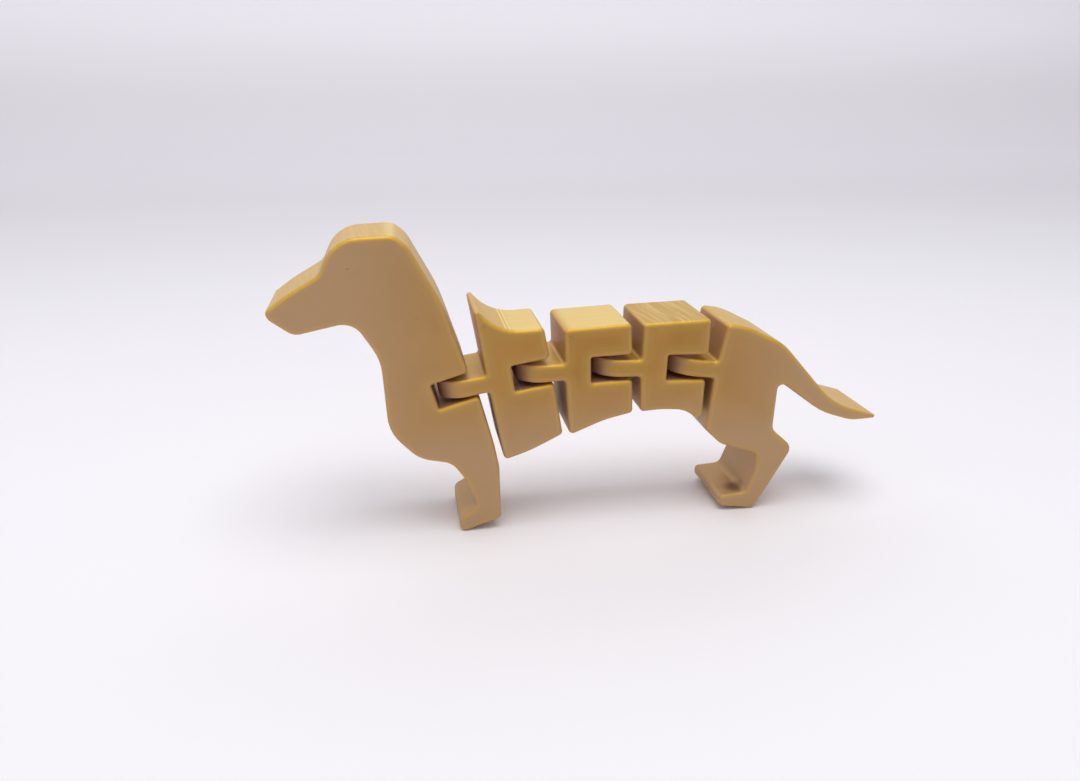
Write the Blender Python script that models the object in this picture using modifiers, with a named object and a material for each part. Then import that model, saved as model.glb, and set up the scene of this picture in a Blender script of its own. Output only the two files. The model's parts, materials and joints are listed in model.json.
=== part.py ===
"""Print-in-place dachshund that bends sideways at four hinges. Metres, +Z up, head towards -X.

Every piece is a flat plate, printed lying on its side, so its outline is drawn in the X-Z plane
and given thickness along Y, with a softly rounded rim on both faces. A piece's outline carries
the slot at its back and the tongue at its front. The tongue reaches into the slot of the piece
ahead and turns there on two printed cones.
"""

import math

import bmesh
import bpy
from mathutils import Matrix

MM = 0.001

# The whole toy
THICKNESS = 14.5 * MM
RIM = 0.75 * MM  # radius of the rounded rim on both faces
PITCH = 13.5 * MM  # from one hinge to the next
SHOULDER_X = -23.95 * MM  # first hinge, between the head section and the shoulder segment
SHOULDER_Z = 26.31 * MM

# How each piece stands on its hinge, in degrees: positive lowers the head end
HEAD_TILT = 16.3
SHOULDER_TILT = 9.0
MIDDLE_TILT = 1.5
LOIN_TILT = -2.0
HIP_TILT = -8.0

# Hinge
SLOT_HALF = 2.25 * MM  # half the height of the slot
SLOT_BACK = 3.35 * MM  # from the hinge axis forward to the slot's end wall
TONGUE_HALF = 1.55 * MM
TONGUE_REACH = 2.6 * MM  # from the hinge axis forward to the knuckle's tip
KNUCKLE_RADIUS = 5.0 * MM  # rounding of the knuckle, seen from above
CONE_BASE = 1.5 * MM
CONE_TIP = 0.4 * MM
CONE_END = 0.75 * MM  # height of the cone's tip above the tongue's middle
DIMPLE_MOUTH = 1.9 * MM
DIMPLE_FLOOR = 1.0 * MM
DIMPLE_END = 0.5 * MM

PLASTIC = (0.58, 0.41, 0.18, 1.0)


def slot_points(hinge, top, bottom):
    """Corners of a slot that opens backward, from its upper lip round to its lower lip."""
    back = hinge - SLOT_BACK / MM
    half = SLOT_HALF / MM
    return [(top, half, 0.8), (back, half, 0.4), (back, -half, 0.4), (bottom, -half, 0.8)]


def tongue_points(root):
    """Corners of a tongue that points forward, a little longer than its knuckle is cut to."""
    tip = -TONGUE_REACH / MM - 0.5
    half = TONGUE_HALF / MM
    return [(root, -half, 0.6), (tip, -half, 0.0), (tip, half, 0.0), (root, half, 0.6)]


# Outlines run clockwise in millimetres, measured from the hinge that the piece turns on and along
# its own tilted axes. Each corner is (x, z, fillet radius) and may end with a rim radius of its own.
HEAD = [
    *slot_points(0.0, 3.3, 3.7),
    (3.5, -11.5, 7.0),
    (3.1, -16.0, 3.0),
    (0.5, -25.5, 0.9),
    (-7.2, -25.7, 0.9),
    (-6.3, -22.7, 1.4),
    (-2.8, -21.9, 1.7),
    (-3.1, -16.5, 8.0),
    (-4.4, -12.5, 3.6),
    (-9.4, -9.8, 6.0),
    (-12.6, -3.5, 7.5),
    (-9.6, 9.0, 9.0),
    (-11.6, 16.5, 3.6),
    (-21.1, 17.3, 2.6),
    (-23.8, 20.9, 1.5),
    (-24.1, 22.4, 1.1),
    (-19.8, 23.9, 12.0),
    (-14.0, 25.3, 2.6),
    (-11.0, 28.6, 6.0),
    (-7.7, 29.4, 6.0),
    (-0.9, 27.7, 3.0),
    (0.7, 25.4, 4.5),
    (2.9, 15.0, 30.0),
]
SHOULDER = [
    *tongue_points(5.8),
    (5.6, 13.8, 0.5, 0.4),
    (8.3, 10.0, 8.0),
    (11.5, 8.3, 9.0),
    (16.7, 7.7, 0.8),
    *slot_points(13.5, 16.9, 16.9),
    (17.0, -11.8, 0.8),
    (11.0, -13.7, 30.0),
    (6.2, -14.4, 0.8),
]
MIDDLE = [
    *tongue_points(5.6),
    (5.5, 7.6, 0.8),
    (17.2, 7.8, 0.8),
    *slot_points(13.5, 17.4, 17.4),
    (17.5, -8.4, 0.8),
    (12.6, -9.3, 20.0),
    (6.1, -11.7, 0.8),
]
LOIN = [
    *tongue_points(5.4),
    (5.3, 8.0, 0.8),
    (17.3, 8.7, 0.8),
    *slot_points(13.5, 17.4, 17.3),
    (17.3, -10.1, 0.8),
    (13.8, -7.9, 5.0),
    (9.5, -7.7, 20.0),
    (5.8, -8.1, 0.8),
]
HIP = [
    *tongue_points(5.5),
    (6.0, 8.4, 0.8),
    (9.5, 8.4, 12.0),
    (17.2, 5.8, 10.0),
    (29.2, -4.4, 14.0, 0.5),
    (39.5, -6.1, 0.35, 0.3),
    (33.6, -7.3, 7.0, 0.45),
    (27.4, -6.2, 14.0, 0.5),
    (17.7, -1.0, 0.9),
    (18.7, -10.4, 2.4),
    (23.4, -13.4, 1.8),
    (20.4, -21.2, 12.0),
    (18.4, -26.1, 1.0),
    (11.6, -26.1, 1.2),
    (11.1, -23.9, 0.8),
    (16.0, -22.9, 1.4),
    (17.1, -18.2, 6.0),
    (16.5, -15.1, 1.3),
    (9.4, -13.8, 4.0),
    (5.8, -11.2, 0.9),
]


def clear_scene():
    for obj in list(bpy.data.objects):
        bpy.data.objects.remove(obj, do_unlink=True)


def make_collection(name):
    made = bpy.data.collections.new(name)
    bpy.context.scene.collection.children.link(made)
    return made


def make_material(name):
    made = bpy.data.materials.new(name)
    made.use_nodes = True
    shader = made.node_tree.nodes["Principled BSDF"]
    shader.inputs["Base Color"].default_value = PLASTIC
    shader.inputs["Roughness"].default_value = 0.38
    return made


def heading(start, end):
    length = math.hypot(end[0] - start[0], end[1] - start[1])
    return (end[0] - start[0]) / length, (end[1] - start[1]) / length


def fillet(before, corner, after):
    """Points (x, z, rim) along the arc that rounds one corner of a clockwise outline."""
    x, z, radius = corner[:3]
    rim = corner[3] if len(corner) > 3 else RIM / MM
    if radius == 0.0:
        return [(x, z, rim)]
    ux, uz = heading(before, corner)
    vx, vz = heading(corner, after)
    turn = math.atan2(ux * vz - uz * vx, ux * vx + uz * vz)
    side = math.copysign(radius, turn)
    reach = radius * math.tan(abs(turn) / 2)
    cx = x - ux * reach - uz * side
    cz = z - uz * reach + ux * side
    steps = max(2, round(abs(turn) / math.acos(1 - min(0.5, 0.035 / radius)) / 2))
    points = []
    for step in range(steps + 1):
        angle = turn * step / steps
        dx = ux * math.cos(angle) - uz * math.sin(angle)
        dz = ux * math.sin(angle) + uz * math.cos(angle)
        points.append((cx + dz * side, cz - dx * side, rim))
    return points


def extrude_outline(name, points, half, collection):
    """A closed mesh from a filled 2D curve through (x, y) points in metres, extruded both ways."""
    curve = bpy.data.curves.new(name + "_outline", "CURVE")
    curve.dimensions = "2D"
    curve.fill_mode = "BOTH"
    curve.extrude = half
    spline = curve.splines.new("POLY")
    spline.points.add(len(points) - 1)
    for point, (x, y) in zip(spline.points, points):
        point.co = (x, y, 0.0, 1.0)
    spline.use_cyclic_u = True
    outline = bpy.data.objects.new(name + "_outline", curve)
    collection.objects.link(outline)
    graph = bpy.context.evaluated_depsgraph_get()
    mesh = bpy.data.meshes.new_from_object(outline.evaluated_get(graph))
    mesh.name = name
    bpy.data.objects.remove(outline, do_unlink=True)
    bm = bmesh.new()
    bm.from_mesh(mesh)
    bmesh.ops.remove_doubles(bm, verts=bm.verts, dist=1e-7)
    for side in (1, -1):
        cap = [face for face in bm.faces if face.normal.z * side > 0.9]
        bmesh.ops.dissolve_faces(bm, faces=cap)
    bmesh.ops.recalc_face_normals(bm, faces=bm.faces)
    bm.to_mesh(mesh)
    bm.free()
    obj = bpy.data.objects.new(name, mesh)
    collection.objects.link(obj)
    return obj


def make_plate(name, corners, collection):
    """A plate of the toy's thickness standing on edge, with a rounded rim on both faces."""
    count = len(corners)
    outline = []
    for i, corner in enumerate(corners):
        outline += fillet(corners[i - 1], corner, corners[(i + 1) % count])
    points = [(x * MM, z * MM) for x, z, _ in outline]
    plate = extrude_outline(name, points, THICKNESS / 2, collection)
    weigh_rim(plate.data, outline)
    plate.data.transform(Matrix.Rotation(math.radians(90), 4, "X"))
    rim = plate.modifiers.new("rim", "BEVEL")
    rim.limit_method = "WEIGHT"
    rim.width = RIM
    rim.segments = 3
    rim.use_clamp_overlap = False
    return plate


def weigh_rim(mesh, outline):
    """Gives each edge round both faces the share of the full rim radius that its corner asks for."""
    shares = {(round(x, 2), round(z, 2)): rim * MM / RIM for x, z, rim in outline}
    weights = mesh.attributes.new("bevel_weight_edge", "FLOAT", "EDGE")
    for edge in mesh.edges:
        ends = [mesh.vertices[index].co for index in edge.vertices]
        if ends[0].z * ends[1].z > 0:
            keys = [(round(end.x / MM, 2), round(end.y / MM, 2)) for end in ends]
            weights.data[edge.index].value = sum(shares[key] for key in keys) / 2


def make_cone(name, x, low, high, collection):
    """A turned cone on the vertical axis through x, between two (height, radius) ends."""
    mesh = bpy.data.meshes.new(name)
    bm = bmesh.new()
    depth = high[0] - low[0]
    middle = Matrix.Translation((x, 0.0, low[0] + depth / 2))
    bmesh.ops.create_cone(
        bm,
        cap_ends=True,
        segments=24,
        radius1=low[1],
        radius2=high[1],
        depth=depth,
        matrix=middle,
    )
    bm.to_mesh(mesh)
    bm.free()
    obj = bpy.data.objects.new(name, mesh)
    collection.objects.link(obj)
    return obj


def use_shape(plate, tool, operation):
    """Cuts or joins a helper shape, which keeps its place on the plate and stays out of the object."""
    step = plate.modifiers.new(tool.name, "BOOLEAN")
    step.operation = operation
    step.solver = "EXACT"
    step.object = tool
    tool.parent = plate
    tool.hide_render = True
    tool.display_type = "WIRE"


def round_knuckle(plate, helpers):
    """Rounds the tongue's end as seen from above."""
    wide = THICKNESS / 2 + MM
    flat = THICKNESS / 2 - KNUCKLE_RADIUS
    tip = -TONGUE_REACH
    arc = []
    for step in range(13):
        angle = math.radians(90 * step / 12)
        arc.append((tip + KNUCKLE_RADIUS * (1 - math.cos(angle)), flat + KNUCKLE_RADIUS * math.sin(angle)))
    mouth = tip + KNUCKLE_RADIUS
    outer = [(mouth, wide), (tip - 2 * MM, wide), (tip - 2 * MM, -wide), (mouth, -wide)]
    inner = [(x, -y) for x, y in reversed(arc)] + arc
    cutter = extrude_outline(plate.name + "_knuckle_cut", outer + inner, 3 * MM, helpers)
    use_shape(plate, cutter, "DIFFERENCE")


def sink_dimples(plate, helpers):
    """Two cone-shaped dimples in the tongue, on the hinge axis."""
    floor = (DIMPLE_END, DIMPLE_FLOOR)
    slope = (DIMPLE_MOUTH - DIMPLE_FLOOR) / (TONGUE_HALF - DIMPLE_END)
    mouth = (TONGUE_HALF + 0.3 * MM, DIMPLE_MOUTH + 0.3 * MM * slope)
    upper = make_cone(plate.name + "_upper_dimple_cut", 0.0, floor, mouth, helpers)
    lower = make_cone(plate.name + "_lower_dimple_cut", 0.0, flip(mouth), flip(floor), helpers)
    use_shape(plate, upper, "DIFFERENCE")
    use_shape(plate, lower, "DIFFERENCE")


def add_cones(plate, x, helpers):
    """Two cones on the slot's ceiling and floor, rooted a little way into the walls."""
    tip = (CONE_END, CONE_TIP)
    slope = (CONE_BASE - CONE_TIP) / (SLOT_HALF - CONE_END)
    root = (SLOT_HALF + 0.4 * MM, CONE_BASE + 0.4 * MM * slope)
    upper = make_cone(plate.name + "_upper_cone", x, tip, root, helpers)
    lower = make_cone(plate.name + "_lower_cone", x, flip(root), flip(tip), helpers)
    use_shape(plate, upper, "UNION")
    use_shape(plate, lower, "UNION")


def flip(end):
    return -end[0], end[1]


def place(plate, x, z, tilt):
    plate.location = (x, 0.0, z)
    plate.rotation_euler = (0.0, -math.radians(tilt), 0.0)


def step_back(x, z, tilt):
    """The next hinge, one pitch behind this one along a piece with this tilt."""
    return x + PITCH * math.cos(math.radians(tilt)), z + PITCH * math.sin(math.radians(tilt))


def make_dachshund():
    clear_scene()
    toy = make_collection("dachshund")
    helpers = make_collection("dachshund_helpers")
    helpers.hide_render = True
    x, z = SHOULDER_X, SHOULDER_Z
    head = make_plate("head_section", HEAD, toy)
    add_cones(head, 0.0, helpers)
    place(head, x, z, HEAD_TILT)
    rows = (
        ("shoulder_segment", SHOULDER, SHOULDER_TILT),
        ("middle_segment", MIDDLE, MIDDLE_TILT),
        ("loin_segment", LOIN, LOIN_TILT),
    )
    for name, corners, tilt in rows:
        segment = make_plate(name, corners, toy)
        round_knuckle(segment, helpers)
        sink_dimples(segment, helpers)
        add_cones(segment, PITCH, helpers)
        place(segment, x, z, tilt)
        x, z = step_back(x, z, tilt)
    hip = make_plate("hip_section", HIP, toy)
    round_knuckle(hip, helpers)
    sink_dimples(hip, helpers)
    place(hip, x, z, HIP_TILT)
    for obj in toy.objects:
        obj.data.materials.append(make_material(obj.name + "_plastic"))


make_dachshund()
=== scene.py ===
"""A print-in-place dachshund in gold silk plastic on a pale table. Metres, +Z up, head towards -X.

Each plate of the toy is rebuilt at full detail from its outline: a rounded rim, a dense flat face
on both sides and a ruled wall between them. Every point also carries how far it lies inside the
outline, how far along the outline it is and whether it faces into a gap, so that the plastic can
follow the print: walls in layers, faces in outline passes and a diagonal fill. The gap marks where
painted shade goes in the slots.
"""

import json
import math
import random

import bpy
import numpy as np
from mathutils import Matrix, Vector
from mathutils.geometry import delaunay_2d_cdt


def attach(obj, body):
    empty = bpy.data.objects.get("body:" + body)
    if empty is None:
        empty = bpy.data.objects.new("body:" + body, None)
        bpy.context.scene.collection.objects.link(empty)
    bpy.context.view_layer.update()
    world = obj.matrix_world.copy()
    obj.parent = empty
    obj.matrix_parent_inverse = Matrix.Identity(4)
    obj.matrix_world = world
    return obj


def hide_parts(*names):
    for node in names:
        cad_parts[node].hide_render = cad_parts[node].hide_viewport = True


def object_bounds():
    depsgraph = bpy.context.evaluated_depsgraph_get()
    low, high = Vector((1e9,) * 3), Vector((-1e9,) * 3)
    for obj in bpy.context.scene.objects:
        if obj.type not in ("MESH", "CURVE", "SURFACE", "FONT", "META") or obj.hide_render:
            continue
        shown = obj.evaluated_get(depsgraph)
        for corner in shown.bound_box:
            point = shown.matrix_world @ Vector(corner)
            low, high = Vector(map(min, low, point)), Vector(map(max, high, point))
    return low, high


MM = 0.001

# Sizes of the toy in millimetres, the same as the solids'
HALF = 7.25
RIM = 0.75
PITCH = 13.5
SHOULDER_HINGE = (-23.95, 26.31)
SLOT_HALF = 2.25
SLOT_BACK = 3.35
TONGUE_HALF = 1.55
TONGUE_REACH = 2.6
KNUCKLE_RADIUS = 5.0
KNUCKLE_MOUTH = KNUCKLE_RADIUS - TONGUE_REACH
DIMPLE_MOUTH, DIMPLE_WALL, DIMPLE_DEPTH = 1.9, 0.9, 1.05
CONE_BASE, CONE_WALL, CONE_HEIGHT = 1.5, 1.1, 1.5

# Print and mesh detail, in millimetres
LAYER = 0.2
LINE = 0.42
SPACING = 0.5
FACE_GRID = 0.6
RIM_STEPS = 6
WALL_ROWS = 26
SPECK_SIDES = 12
SPECK_RISE = 0.25
FACE_MARGIN = 1.05  # where the flat face's mesh starts, in rim radii, so that the face shades flat


def slot_points(hinge, top, bottom):
    back = hinge - SLOT_BACK
    return [
        (top, SLOT_HALF, 0.8),
        (back, SLOT_HALF, 0.4),
        (back, -SLOT_HALF, 0.4),
        (bottom, -SLOT_HALF, 0.8),
    ]


def tongue_points(root):
    tip = -TONGUE_REACH
    return [
        (root, -TONGUE_HALF, 0.6),
        (tip, -TONGUE_HALF, 0.36, 0.3),
        (tip, TONGUE_HALF, 0.36, 0.3),
        (root, TONGUE_HALF, 0.6),
    ]


# Clockwise corners (x, z, fillet radius), and a rim radius where it isn't RIM, from the hinge
# that the piece turns on and along its own tilted axes.
HEAD = [
    *slot_points(0.0, 3.3, 3.7),
    (3.5, -11.5, 7.0),
    (3.1, -16.0, 3.0),
    (0.5, -25.5, 0.9),
    (-7.2, -25.7, 0.9),
    (-6.3, -22.7, 1.4),
    (-2.8, -21.9, 1.7),
    (-3.1, -16.5, 8.0),
    (-4.4, -12.5, 3.6),
    (-9.4, -9.8, 6.0),
    (-12.6, -3.5, 7.5),
    (-9.6, 9.0, 9.0),
    (-11.6, 16.5, 3.6),
    (-21.1, 17.3, 2.6),
    (-23.8, 20.9, 1.5),
    (-24.1, 22.4, 1.1),
    (-19.8, 23.9, 12.0),
    (-14.0, 25.3, 2.6),
    (-11.0, 28.6, 6.0),
    (-7.7, 29.4, 6.0),
    (-0.9, 27.7, 3.0),
    (0.7, 25.4, 4.5),
    (2.9, 15.0, 30.0),
]
SHOULDER = [
    *tongue_points(5.8),
    (5.6, 13.8, 0.5, 0.4),
    (8.3, 10.0, 8.0),
    (11.5, 8.3, 9.0),
    (16.7, 7.7, 0.8),
    *slot_points(13.5, 16.9, 16.9),
    (17.0, -11.8, 0.8),
    (11.0, -13.7, 30.0),
    (6.2, -14.4, 0.8),
]
MIDDLE = [
    *tongue_points(5.6),
    (5.5, 7.6, 0.8),
    (17.2, 7.8, 0.8),
    *slot_points(13.5, 17.4, 17.4),
    (17.5, -8.4, 0.8),
    (12.6, -9.3, 20.0),
    (6.1, -11.7, 0.8),
]
LOIN = [
    *tongue_points(5.4),
    (5.3, 8.0, 0.8),
    (17.3, 8.7, 0.8),
    *slot_points(13.5, 17.4, 17.3),
    (17.3, -10.1, 0.8),
    (13.8, -7.9, 5.0),
    (9.5, -7.7, 20.0),
    (5.8, -8.1, 0.8),
]
HIP = [
    *tongue_points(5.5),
    (6.0, 8.4, 0.8),
    (9.5, 8.4, 12.0),
    (17.2, 5.8, 10.0),
    (29.2, -4.4, 14.0, 0.5),
    (39.5, -6.1, 0.35, 0.3),
    (33.6, -7.3, 7.0, 0.45),
    (27.4, -6.2, 14.0, 0.5),
    (17.7, -1.0, 0.9),
    (18.7, -10.4, 2.4),
    (23.4, -13.4, 1.8),
    (20.4, -21.2, 12.0),
    (18.4, -26.1, 1.0),
    (11.6, -26.1, 1.2),
    (11.1, -23.9, 0.8),
    (16.0, -22.9, 1.4),
    (17.1, -18.2, 6.0),
    (16.5, -15.1, 1.3),
    (9.4, -13.8, 4.0),
    (5.8, -11.2, 0.9),
]

# Node, corners, tilt in degrees, has a tongue, hinge its slot holds, x past which the top takes a
# painted highlight
PLATES = [
    ("head_section", HEAD, 16.3, False, 0.0, -2.6),
    ("shoulder_segment", SHOULDER, 9.0, True, PITCH, 10.5),
    ("middle_segment", MIDDLE, 1.5, True, PITCH, 6.0),
    ("loin_segment", LOIN, -2.0, True, PITCH, 40.0),
    ("hip_section", HIP, -8.0, True, None, 40.0),
]
SEAM = 10.75  # where the print's seam crosses the shoulder's top
POCKET = (14.8, -4.3, -23.2)  # where painted shade darkens the crease between the hind foot's top and the leg, on the hip section

# Specks of plastic left on the near face: x, z, radius, and length over width
SPECKS = {
    "head_section": [(-9.4, 24.9, 0.2, 1.4), (-1.8, 14.0, 0.18, 1.8), (-8.1, 24.0, 0.12, 2.0)],
    "shoulder_segment": [(6.8, 10.1, 0.26, 1.2), (6.45, 9.5, 0.16, 1.0), (7.3, 9.9, 0.12, 1.0)],
    "middle_segment": [
        (6.4, 6.4, 0.18, 1.2),
        (6.95, 6.05, 0.24, 0.8),
        (6.5, 5.4, 0.16, 1.3),
        (7.0, 6.6, 0.12, 1.0),
        (4.9, -0.2, 0.2, 2.4),
    ],
    "loin_segment": [(7.1, 7.1, 0.24, 1.1), (7.45, 6.8, 0.18, 1.3), (1.7, 0.2, 0.26, 1.0)],
    "hip_section": [(4.3, 1.2, 0.12, 5.0), (3.2, 0.9, 0.1, 4.0)],
}


# ---------------------------------------------------------------- outlines


def fillet(before, corner, after):
    """Rows (x, z, outward normal x, outward normal z, rim) along one rounded clockwise corner."""
    x, z, radius = corner[:3]
    rim = corner[3] if len(corner) > 3 else RIM
    start = np.subtract((x, z), before[:2])
    end = np.subtract(after[:2], (x, z))
    ux, uz = start / np.hypot(*start)
    vx, vz = end / np.hypot(*end)
    turn = math.atan2(ux * vz - uz * vx, ux * vx + uz * vz)
    reach = radius * math.tan(abs(turn) / 2)
    side = math.copysign(radius, turn)
    cx = x - ux * reach - uz * side
    cz = z - uz * reach + ux * side
    steps = max(3, math.ceil(abs(turn) / math.radians(9)))
    rows = []
    for step in range(steps + 1):
        angle = turn * step / steps
        dx = ux * math.cos(angle) - uz * math.sin(angle)
        dz = ux * math.sin(angle) + uz * math.cos(angle)
        rows.append((cx + dz * side, cz - dx * side, -dz, dx, rim))
    return rows


def outline_rows(corners):
    """The whole outline, its straight runs divided so that no step is longer than SPACING."""
    count = len(corners)
    rows = []
    for i, corner in enumerate(corners):
        rows += fillet(corners[i - 1], corner, corners[(i + 1) % count])
    full = []
    for i, row in enumerate(rows):
        following = rows[(i + 1) % len(rows)]
        gap = math.hypot(following[0] - row[0], following[1] - row[1])
        if gap < 1e-4:
            continue
        steps = max(1, math.ceil(gap / SPACING))
        for step in range(steps):
            full.append(np.add(row, np.subtract(following, row) * (step / steps)))
    return np.array(full)


def half_width(x, has_tongue):
    """Half the plate's width at x: full, but for the knuckle, which is round seen from above."""
    x = np.asarray(x, float)
    if not has_tongue:
        return np.full(x.shape, HALF)
    reach = np.clip(KNUCKLE_MOUTH - x, 0.0, KNUCKLE_RADIUS)
    return HALF - KNUCKLE_RADIUS + np.sqrt(KNUCKLE_RADIUS**2 - reach**2)


# ---------------------------------------------------------------- plates


def distance_to_outline(points, outline):
    """How far each (x, z) lies from a closed outline, and whether it lies inside."""
    a = outline
    b = np.roll(outline, -1, axis=0)
    edge = b - a
    length = np.maximum((edge**2).sum(1), 1e-12)
    best = np.full(len(points), 1e9)
    inside = np.zeros(len(points), bool)
    for start, run, square in zip(a, edge, length):
        off = points - start
        along = np.clip(off @ run / square, 0.0, 1.0)
        best = np.minimum(best, np.hypot(*(off - along[:, None] * run).T))
        crosses = (start[1] > points[:, 1]) != (start[1] + run[1] > points[:, 1])
        slope = run[0] * (points[:, 1] - start[1]) / (run[1] if run[1] else 1e-12)
        inside ^= crosses & (points[:, 0] < start[0] + slope)
    return best, inside


def face_points(border, has_tongue):
    """Points that fill a flat face: an even staggered grid, and closer columns on the knuckle."""
    low, high = border.min(0), border.max(0)
    points = []
    for k, z in enumerate(np.arange(low[1], high[1], FACE_GRID * 0.87)):
        shift = FACE_GRID / 2 * (k % 2)
        points += [(x + shift, z) for x in np.arange(low[0], high[0], FACE_GRID)]
    points = np.array(points)
    if has_tongue:
        points = points[(points[:, 0] > KNUCKLE_MOUTH) | (abs(points[:, 1]) > 2.0)]
        steps = np.radians(np.arange(6.0, 91.0, 6.0))
        columns = KNUCKLE_MOUTH - KNUCKLE_RADIUS * np.cos(steps)
        knuckle = [(x, z) for x in columns for z in np.linspace(-1.2, 1.2, 7)]
        points = np.vstack([points, knuckle])
    away, inside = distance_to_outline(points, border)
    return points[inside & (away > FACE_GRID * 0.45)]


def fill_face(border, has_tongue):
    """Inner points and triangles over a face. The border's own points come first in the numbering."""
    inner = face_points(border, has_tongue)
    count = len(border)
    edges = [(i, (i + 1) % count) for i in range(count)]
    flat = [Vector(point) for point in np.vstack([border, inner]).tolist()]
    _, _, faces, origins, _, _ = delaunay_2d_cdt(flat, edges, [], 1, 1e-7)
    triangles = np.array([[min(origins[v]) for v in face] for face in faces])
    used = np.unique(triangles[triangles >= count])
    triangles[triangles >= count] = count + np.searchsorted(used, triangles[triangles >= count])
    return inner[used - count], triangles.tolist()


def point_normals(points, faces):
    """Normals weighted by area, so that a sliver between points in line counts for nothing."""
    corners = np.array([(f[0], f[k], f[k + 1]) for f in faces for k in range(1, len(f) - 1)])
    a, b, c = points[corners].transpose(1, 0, 2)
    weighted = np.cross(b - a, c - a)
    total = np.zeros(points.shape)
    for corner in corners.T:
        np.add.at(total, corner, weighted)
    return total / np.linalg.norm(total, axis=1)[:, None]


def hinge_relief(points, normals, has_tongue, hinge):
    """Moves wall points so that the slot carries its two cones and the tongue their dimples."""
    x, y, z = points.T
    if has_tongue:
        reach = np.hypot(x, y)
        wall = (abs(abs(z) - TONGUE_HALF) < 0.01) & (abs(normals[:, 1]) > 0.9)
        depth = np.clip((DIMPLE_MOUTH - reach) / DIMPLE_WALL, 0.0, 1.0) * DIMPLE_DEPTH
        z = np.where(wall, z - np.sign(z) * depth, z)
    if hinge is not None:
        reach = np.hypot(x - hinge, y)
        wall = (abs(abs(z) - SLOT_HALF) < 0.01) & (abs(normals[:, 1]) > 0.9)
        height = np.clip((CONE_BASE - reach) / CONE_WALL, 0.0, 1.0) * CONE_HEIGHT
        z = np.where(wall, z - np.sign(z) * height, z)
    return np.stack([x, y, z], 1)


def wall_points(rows, has_tongue):
    """Rings of points from the near face's border to the far one's, in millimetres."""
    x, z, nx, nz, rim = rows.T
    quarter = np.radians(np.linspace(90, 0, RIM_STEPS + 1))
    rings = [(-1, FACE_MARGIN, 1.0, 1.0)]
    rings += [(-1, 1 - math.cos(a), math.sin(a), 1.0) for a in quarter]
    rings += [(-1, 0.0, 0.0, 1 - 2 * k / WALL_ROWS) for k in range(1, WALL_ROWS)]
    rings += [(1, 1 - math.cos(a), math.sin(a), 1.0) for a in reversed(quarter)]
    rings += [(1, FACE_MARGIN, 1.0, 1.0)]
    made = []
    for side, inset, drop, share in rings:
        px = x - nx * rim * inset
        pz = z - nz * rim * inset
        wide = half_width(px, has_tongue)
        made.append((px, side * (wide - rim * (1 - drop)) * share, pz, rim * inset))
    return made


def gap_shade(points, has_tongue, hinge):
    """How much painted shade a point takes: 1 inside a slot or on a knuckle's tip, 0 outside."""
    x, z = points[:, 0], points[:, 2]
    shade = np.zeros(len(points))
    if has_tongue:
        shade = np.maximum(shade, np.clip((0.6 - x) / 2.4, 0.0, 1.0) * (abs(z) < 1.7))
    if hinge is not None:
        deep = np.clip((hinge + 3.0 - x) / 2.0, 0.0, 1.0)
        deep *= (x > hinge - SLOT_BACK - 0.02) & (abs(z) < SLOT_HALF + 0.02)
        shade = np.maximum(shade, deep)
    return shade


def knuckle_share(points, has_tongue):
    """1 on the knuckle, where the plate's sides curl in, fading to 0 on the flat face."""
    if not has_tongue:
        return np.zeros(len(points))
    return np.clip((KNUCKLE_MOUTH + 1.0 - points[:, 0]) / 1.0, 0.0, 1.0)


def speck_shells(specks, has_tongue):
    """Low closed domes on the near face, as points and faces numbered from 0."""
    points, faces = [], []
    for x, z, radius, stretch in specks:
        start = len(points)
        surface = float(half_width(x, has_tongue))
        points += [(x, -surface - SPECK_RISE * radius, z), (x, -surface + SPECK_RISE * radius, z)]
        for lift in (50, 20, -30):
            for step in range(SPECK_SIDES):
                turn = 2 * math.pi * step / SPECK_SIDES
                reach = radius * math.cos(math.radians(lift)) * random.uniform(0.85, 1.15)
                rise = SPECK_RISE * radius * math.sin(math.radians(lift))
                px = x + stretch * reach * math.cos(turn)
                points.append((px, -surface - rise, z + reach * math.sin(turn)))
        for step in range(SPECK_SIDES):
            a, b = start + 2 + step, start + 2 + (step + 1) % SPECK_SIDES
            faces.append((start, a, b))
            for row in (0, SPECK_SIDES):
                faces.append((a + row, a + row + SPECK_SIDES, b + row + SPECK_SIDES, b + row))
            faces.append((start + 1, b + 2 * SPECK_SIDES, a + 2 * SPECK_SIDES))
    return points, faces


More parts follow.
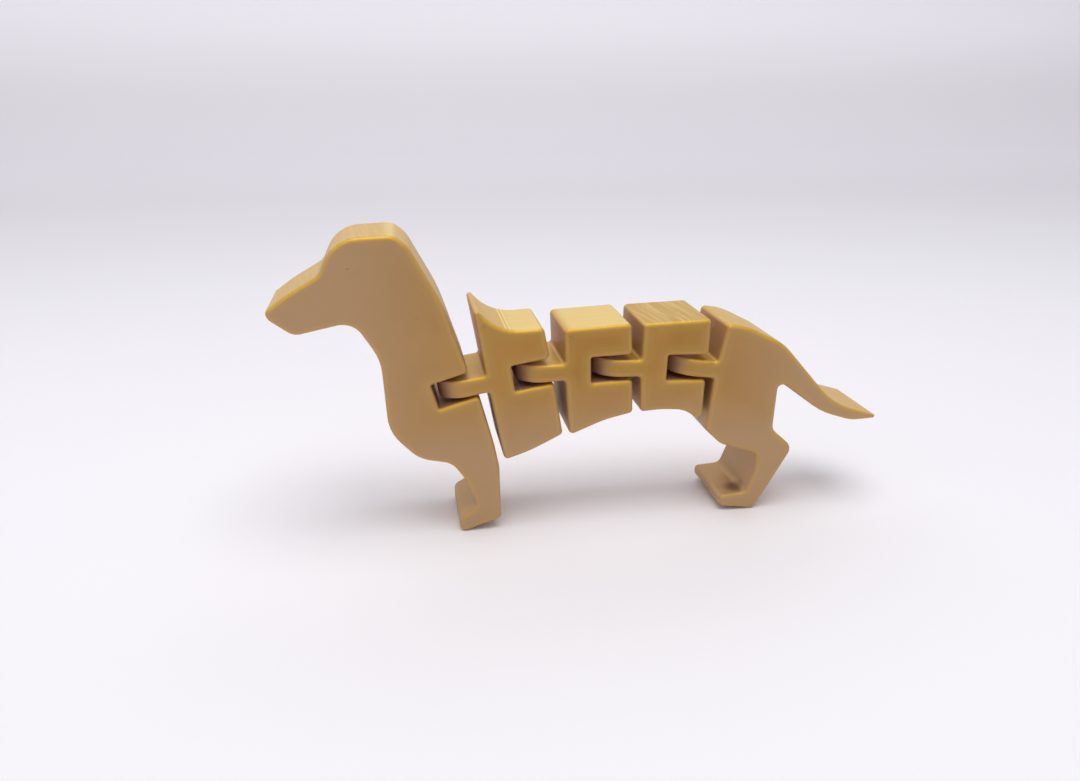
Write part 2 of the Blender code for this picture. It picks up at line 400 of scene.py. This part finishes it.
def make_plate(name, corners, tilt, has_tongue, hinge, shine, origin):
    rows = outline_rows(corners)
    count = len(rows)
    rings = wall_points(rows, has_tongue)
    points = np.vstack([np.stack([x, y, z], 1) for x, y, z, _ in rings])
    inset = np.concatenate([ring[3] for ring in rings])
    step = np.hypot(*np.diff(rows[:, :2], axis=0, append=rows[:1, :2]).T)
    along = np.tile(np.concatenate([[0.0], np.cumsum(step)[:-1]]), len(rings))
    normals = np.tile(rows[:, 2:4], (len(rings), 1))
    points = hinge_relief(points, normals, has_tongue, hinge)
    faces = []
    for ring in range(len(rings) - 1):
        low = ring * count
        for i in range(count):
            j = (i + 1) % count
            faces.append((low + i, low + j, low + count + j, low + count + i))
    border = points[:count][:, [0, 2]]
    inner, triangles = fill_face(border, has_tongue)
    away, _ = distance_to_outline(inner, rows[:, :2])
    wide = half_width(inner[:, 0], has_tongue)
    last = (len(rings) - 1) * count
    for side in (-1, 1):
        start = len(points)
        ring = 0 if side < 0 else last
        points = np.vstack([points, np.stack([inner[:, 0], side * wide, inner[:, 1]], 1)])
        inset = np.concatenate([inset, away])
        along = np.concatenate([along, np.zeros(len(inner))])
        for triangle in triangles:
            made = [v + ring if v < count else v - count + start for v in triangle]
            faces.append(made if side < 0 else made[::-1])
    extra, shells = speck_shells(SPECKS[name], has_tongue)
    faces += [[v + len(points) for v in shell] for shell in shells]
    points = np.vstack([points, extra])
    inset = np.concatenate([inset, np.full(len(extra), 1.0)])
    along = np.concatenate([along, np.zeros(len(extra))])
    mesh = bpy.data.meshes.new(name + "_print")
    place = Matrix.Translation((origin[0] * MM, 0.0, origin[1] * MM))
    place @= Matrix.Rotation(-math.radians(tilt), 4, "Y") @ Matrix.Scale(MM, 4)
    mesh.from_pydata([place @ Vector(point) for point in points.tolist()], [], faces)
    mesh.validate()
    # gap, shine and pocket only place painted shade and painted highlights in the material
    for label, values in (
        ("inset", inset),
        ("along", along),
        ("depth", points[:, 1]),
        ("gap", gap_shade(points, has_tongue, hinge)),
        ("curl", knuckle_share(points, has_tongue)),
        ("shine", np.where(points[:, 2] > SLOT_HALF + 1, points[:, 0] - shine, -99.0)),
        ("seam", points[:, 0] - SEAM if name == "shoulder_segment" else np.full(len(points), 99.0)),
        ("dull", np.full(len(points), float(name == "loin_segment"))),
        ("pocket", np.linalg.norm(points - POCKET, axis=1) + (0.0 if name == "hip_section" else 99.0)),
    ):
        layer = mesh.attributes.new(label, "FLOAT", "POINT")
        layer.data.foreach_set("value", values.astype(np.float32))
    mesh.shade_smooth()
    turn = np.array(place.to_3x3()) / MM
    mesh.normals_split_custom_set_from_vertices((point_normals(points, faces) @ turn.T).tolist())
    plate = bpy.data.objects.new(name + "_print", mesh)
    bpy.context.scene.collection.objects.link(plate)
    return plate


# ---------------------------------------------------------------- materials


class Graph:
    """Short names for building a node material."""

    def __init__(self, name):
        self.material = bpy.data.materials.new(name)
        self.material.use_nodes = True
        self.tree = self.material.node_tree
        self.shader = self.tree.nodes["Principled BSDF"]

    def feed(self, socket, value):
        if isinstance(value, bpy.types.NodeSocket):
            self.tree.links.new(value, socket)
        else:
            socket.default_value = value

    def node(self, kind, inputs=(), **settings):
        made = self.tree.nodes.new("ShaderNode" + kind)
        for key, value in settings.items():
            setattr(made, key, value)
        for key, value in dict(inputs).items():
            self.feed(made.inputs[key], value)
        return made

    def math(self, operation, *values, clamp=False):
        inputs = dict(enumerate(values))
        return self.node("Math", inputs, operation=operation, use_clamp=clamp).outputs[0]

    def attribute(self, name):
        return self.node("Attribute", attribute_name=name).outputs["Fac"]

    def ramp(self, value, low, high, start=0.0, end=1.0):
        inputs = {"Value": value, "From Min": low, "From Max": high, "To Min": start, "To Max": end}
        return self.node("MapRange", inputs, interpolation_type="SMOOTHSTEP").outputs[0]

    def noise(self, vector, scale, detail=2.0, roughness=0.5):
        inputs = {"Vector": vector, "Scale": scale, "Detail": detail, "Roughness": roughness}
        return self.node("TexNoise", inputs).outputs["Fac"]

    def mix(self, share, a, b, blend="MIX"):
        made = self.node("Mix", data_type="RGBA", blend_type=blend)
        for key, value in ((0, share), (6, a), (7, b)):
            self.feed(made.inputs[key], value)
        return made.outputs[2]

    def vector(self, x, y, z):
        return self.node("CombineXYZ", {"X": x, "Y": y, "Z": z}).outputs[0]


def rgb(red, green, blue):
    """A linear colour from the usual 0 to 255 values."""
    return (*(((c / 255 + 0.055) / 1.055) ** 2.4 for c in (red, green, blue)), 1.0)


GOLD = rgb(187, 136, 65)
GOLD_DARK = rgb(177, 127, 55)
GOLD_OLIVE = rgb(184, 145, 70)
GOLD_TABLE_REFLECTION = rgb(188, 152, 112)
GOLD_TOP_HIGHLIGHT = rgb(232, 192, 98)
GOLD_SIDE = rgb(190, 138, 84)
GOLD_DULL = rgb(186, 142, 56)
GOLD_RIM_HIGHLIGHT = rgb(206, 164, 94)
GOLD_TOP_RIM_HIGHLIGHT = rgb(224, 178, 40)
GOLD_STREAK_AND_SHEEN = rgb(252, 230, 150)
SLOT_SHADE = rgb(172, 116, 118)
KNUCKLE_SHADE = rgb(170, 142, 112)
POCKET_SHADE = rgb(112, 76, 62)


def silk_plastic(name):
    g = Graph(name)
    here = g.node("TexCoord").outputs["Object"]
    place = g.node("SeparateXYZ", {"Vector": here})
    facing = g.node("NewGeometry").outputs["Normal"]
    up = g.node("SeparateXYZ", {"Vector": facing}).outputs["Z"]
    inset = g.attribute("inset")
    along = g.attribute("along")
    depth = g.attribute("depth")
    gap = g.attribute("gap")
    curl = g.attribute("curl")
    on_wall = g.ramp(inset, 0.75, 0.25)
    on_face = g.ramp(inset, 0.75, 1.4)
    on_rim = g.math("MULTIPLY", g.ramp(inset, 1.1, 0.5), g.ramp(inset, 0.0, 0.3))
    on_top = g.math("MULTIPLY", on_wall, g.ramp(up, 0.1, 0.9))
    level = g.math("MULTIPLY", on_wall, g.ramp(up, 0.85, 0.99))

    # Walls: one line per layer, each a little different, and ripples that cross the layers
    wave = g.math("SINE", g.math("MULTIPLY", depth, 2 * math.pi / LAYER))
    layer_id = g.math("FLOOR", g.math("DIVIDE", depth, LAYER))
    strip = g.vector(g.math("MULTIPLY", layer_id, 7.31), g.math("MULTIPLY", along, 0.05), 0.0)
    layer_tone = g.noise(strip, 1.0, 1.0)
    slanted = g.math("ADD", along, g.math("MULTIPLY", depth, 0.12))
    streak = g.noise(g.vector(slanted, g.math("MULTIPLY", depth, 0.045), 3.0), 1.6, 5.0, 0.65)
    beside = g.math("ABSOLUTE", g.math("SUBTRACT", g.math("ABSOLUTE", g.attribute("seam")), 0.33))
    seam = g.math("MULTIPLY", g.ramp(beside, 0.2, 0.05), level)
    # Painted highlight: a brighter facet on the level tops past the shine mark.
    shine = g.math("MULTIPLY", g.ramp(g.attribute("shine"), -0.6, 1.4), level)
    crown = g.math("MULTIPLY", g.ramp(g.attribute("shine"), -60.0, -50.0), on_top)

    # Faces: three passes round the outline, then diagonal lines
    passes = g.math("SINE", g.math("MULTIPLY", inset, 2 * math.pi / LINE))
    in_passes = g.ramp(inset, 2.1, 1.9)
    diagonal = g.math("ADD", place.outputs["X"], place.outputs["Z"])
    fill = g.math("SINE", g.math("MULTIPLY", diagonal, 2 * math.pi / (LINE * MM * 1.414)))
    lines = g.node("Mix", {"Factor": in_passes, "A": fill, "B": passes}).outputs[0]

    clouds = g.noise(here, 90.0, 3.0)
    grain = g.noise(here, 2400.0, 3.0, 0.6)

    body = g.mix(g.ramp(clouds, 0.35, 0.65), GOLD_DARK, GOLD)
    body = g.mix(g.math("MULTIPLY", g.ramp(inset, 2.4, 1.2), 0.5), body, GOLD_OLIVE)
    # Painted reflection of the pale table: paler gold towards the head, the hip and the low parts.
    table_reflection = g.ramp(place.outputs["X"], -0.012, -0.045)
    table_reflection = g.math("MAXIMUM", table_reflection, g.ramp(place.outputs["X"], 0.012, 0.045))
    table_reflection = g.math("MAXIMUM", table_reflection, g.ramp(place.outputs["Z"], 0.030, 0.012))
    body = g.mix(g.math("MULTIPLY", on_wall, 0.6), body, GOLD_SIDE)
    body = g.mix(table_reflection, body, GOLD_TABLE_REFLECTION)
    # Painted highlight: the up-facing walls are lighter, and more so the higher they stand.
    high = g.ramp(place.outputs["Z"], 0.008, 0.018, 0.25, 1.0)
    body = g.mix(g.math("MULTIPLY", g.math("MULTIPLY", on_top, 0.7), high), body, GOLD_TOP_HIGHLIGHT)
    # Painted highlight along every rim.
    body = g.mix(g.math("MULTIPLY", on_rim, 0.4), body, GOLD_RIM_HIGHLIGHT)
    # Painted highlight: a stronger yellow on the up-facing rims of the higher parts.
    edge = g.math("MULTIPLY", g.math("MULTIPLY", on_rim, high), g.ramp(up, 0.05, 0.6, 0.0, 0.8))
    body = g.mix(edge, body, GOLD_TOP_RIM_HIGHLIGHT)
    # Light streaks on the tops: partly the print's own streaks, partly painted sheen; the real seam
    # lines and the painted highlight past the shine mark join them.
    streaky = g.math("MULTIPLY", crown, g.ramp(g.attribute("dull"), 0.0, 1.0, 0.2, 0.5))
    streaks_and_sheen = g.math("MULTIPLY", g.ramp(streak, 0.42, 0.7), streaky)
    streaks_and_sheen = g.math("MAXIMUM", streaks_and_sheen, g.math("MULTIPLY", shine, 0.6))
    flat = g.math("MULTIPLY", g.attribute("dull"), g.math("MULTIPLY", level, 0.6))
    body = g.mix(flat, body, GOLD_DULL)
    body = g.mix(g.math("MAXIMUM", streaks_and_sheen, seam), body, GOLD_STREAK_AND_SHEEN)
    dull = g.math("MULTIPLY", g.ramp(layer_tone, 0.3, 0.75), g.math("MULTIPLY", on_wall, 0.12))
    body = g.mix(dull, body, GOLD_DARK)
    # Painted shade in the slots, and on the knuckle's tip where it sits inside one.
    body = g.mix(g.math("MULTIPLY", gap, 0.7), body, g.mix(on_wall, KNUCKLE_SHADE, SLOT_SHADE))
    # Painted shade in the crease where the hind foot's top meets the leg.
    body = g.mix(g.ramp(g.attribute("pocket"), 2.6, 0.6, 0.0, 0.8), body, POCKET_SHADE)

    ripple = g.math("ADD", g.math("MULTIPLY", streaky, 3.2), g.math("MULTIPLY", on_wall, 0.5))
    relief = g.math("MULTIPLY", g.math("SUBTRACT", streak, 0.5), ripple)
    ridges = g.math("ADD", g.math("MULTIPLY", on_wall, 0.25), g.math("MULTIPLY", curl, 0.4))
    relief = g.math("ADD", relief, g.math("MULTIPLY", wave, ridges))
    relief = g.math("ADD", relief, g.math("MULTIPLY", lines, g.math("MULTIPLY", on_face, 0.08)))
    relief = g.math("ADD", relief, g.math("MULTIPLY", clouds, 2.0))
    relief = g.math("ADD", relief, g.math("MULTIPLY", grain, 0.5))
    bump = g.node("Bump", {"Height": relief, "Strength": 0.6, "Distance": 0.00002})

    rough = g.math("ADD", 0.36, g.math("MULTIPLY", g.math("ADD", clouds, grain), 0.07))
    rough = g.math("ADD", rough, g.math("MULTIPLY", on_rim, 0.14))
    rough = g.math("SUBTRACT", rough, g.math("MULTIPLY", on_top, 0.06))
    g.feed(g.shader.inputs["Base Color"], body)
    g.feed(g.shader.inputs["Roughness"], rough)
    g.feed(g.shader.inputs["Normal"], bump.outputs[0])
    g.feed(g.shader.inputs["Metallic"], g.math("ADD", 0.15, g.math("MULTIPLY", on_top, 0.2)))
    g.shader.inputs["Specular IOR Level"].default_value = 0.5
    g.shader.inputs["Specular Tint"].default_value = (1.0, 0.88, 0.62, 1.0)
    g.shader.inputs["Subsurface Weight"].default_value = 0.25
    g.shader.inputs["Subsurface Radius"].default_value = (1.0, 0.45, 0.3)
    g.shader.inputs["Subsurface Scale"].default_value = 0.0025
    g.shader.inputs["Sheen Weight"].default_value = 0.05
    g.shader.inputs["Sheen Roughness"].default_value = 0.4
    g.shader.inputs["Sheen Tint"].default_value = (1.0, 0.86, 0.6, 1.0)
    return g.material


def table_surface():
    g = Graph("pale_table")
    here = g.node("TexCoord").outputs["Object"]
    place = g.node("SeparateXYZ", {"Vector": here})
    clouds = g.noise(here, 3.0, 2.0)
    tone = g.mix(g.ramp(clouds, 0.3, 0.7), rgb(250, 248, 251), rgb(252, 250, 253))
    # Painted shade: the table darkens further back; painted light: the backdrop lightens higher up.
    tone = g.mix(g.ramp(place.outputs["Y"], -0.03, 0.5), tone, rgb(222, 219, 224))
    tone = g.mix(g.ramp(place.outputs["Z"], 0.04, 0.16), tone, rgb(240, 237, 242))
    g.feed(g.shader.inputs["Base Color"], tone)
    g.shader.inputs["Roughness"].default_value = 0.55
    g.shader.inputs["Specular IOR Level"].default_value = 0.3
    return g.material


# ---------------------------------------------------------------- stage, light, camera


def make_stage(floor_z):
    """A table top that curves up into a plain backdrop behind the toy."""
    depth, radius, height, side = 0.75, 0.3, 1.1, 1.6
    profile = [(-1.6, 0.0), (-0.4, 0.0), (0.2, 0.0)]
    for step in range(17):
        angle = math.radians(90 * step / 16)
        profile.append((depth + radius * math.sin(angle), radius * (1 - math.cos(angle))))
    profile.append((depth + radius, height))
    verts = [(x, y, floor_z + z) for y, z in profile for x in (-side, side)]
    faces = [(2 * i, 2 * i + 1, 2 * i + 3, 2 * i + 2) for i in range(len(profile) - 1)]
    mesh = bpy.data.meshes.new("table")
    mesh.from_pydata(verts, [], faces)
    mesh.shade_smooth()
    mesh.materials.append(table_surface())
    table = bpy.data.objects.new("table", mesh)
    bpy.context.scene.collection.objects.link(table)


def add_light(name, place, aim, size, power, colour=(1.0, 1.0, 1.0), wide=False):
    light = bpy.data.lights.new(name, "AREA")
    light.shape = "RECTANGLE" if wide else "DISK"
    light.size = size
    light.size_y = size / 3
    light.energy = power
    light.color = colour
    lamp = bpy.data.objects.new(name, light)
    lamp.location = place
    lamp.rotation_euler = (Vector(aim) - Vector(place)).to_track_quat("-Z", "Y").to_euler()
    bpy.context.scene.collection.objects.link(lamp)


def light_scene():
    add_light("overhead", (0.0, -0.10, 0.60), (0.0, 0.0, 0.02), 0.5, 1.92, (1.0, 0.99, 0.985))
    add_light("left_fill", (-0.55, -0.15, 0.30), (0.0, 0.0, 0.02), 0.35, 0.2)
    add_light("backdrop", (0.1, 0.75, 0.70), (0.1, 1.05, 0.1), 2.4, 5.2, wide=True)
    world = bpy.data.worlds.new("studio")
    world.use_nodes = True
    shade = world.node_tree.nodes["Background"]
    shade.inputs["Color"].default_value = (0.93, 0.94, 1.0, 1.0)
    shade.inputs["Strength"].default_value = 0.46
    bpy.context.scene.world = world
    bpy.context.scene.view_settings.view_transform = "Standard"


def make_camera():
    """Just above the toy's height, turned a little right and looking down on it."""
    camera = bpy.data.cameras.new("camera")
    camera.sensor_width = 36.0
    camera.lens = 29.33
    camera.clip_start = 0.005
    eye = bpy.data.objects.new("camera", camera)
    eye.location = (-0.03263, -0.14593, 0.0759)
    eye.rotation_euler = (math.radians(90 - 19.65), 0.0, math.radians(-9.5))
    bpy.context.scene.collection.objects.link(eye)
    bpy.context.scene.camera = eye


def body_of(node):
    """The CAD body that carries a node."""
    bodies = frame["record"]["behaviour"]["bodies"]
    return next(name for name, nodes in bodies.items() if node in nodes)


def build_toy():
    plastic = silk_plastic("gold_silk_plastic")
    x, z = SHOULDER_HINGE
    for node, corners, tilt, has_tongue, hinge, shine in PLATES:
        plate = make_plate(node, corners, tilt, has_tongue, hinge, shine, (x, z))
        plate.data.materials.append(plastic)
        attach(plate, body_of(node))
        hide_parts(node)
        if has_tongue:
            x += PITCH * math.cos(math.radians(tilt))
            z += PITCH * math.sin(math.radians(tilt))


random.seed(7)
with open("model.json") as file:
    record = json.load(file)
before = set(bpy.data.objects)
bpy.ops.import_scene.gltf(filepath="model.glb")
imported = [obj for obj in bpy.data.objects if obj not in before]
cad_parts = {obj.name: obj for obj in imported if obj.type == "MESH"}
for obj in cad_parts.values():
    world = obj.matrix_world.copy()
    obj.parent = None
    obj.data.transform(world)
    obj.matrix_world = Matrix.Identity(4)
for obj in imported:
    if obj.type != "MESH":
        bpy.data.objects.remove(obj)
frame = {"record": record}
cad_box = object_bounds()
build_toy()
make_stage(cad_box[0][2])
light_scene()
make_camera()
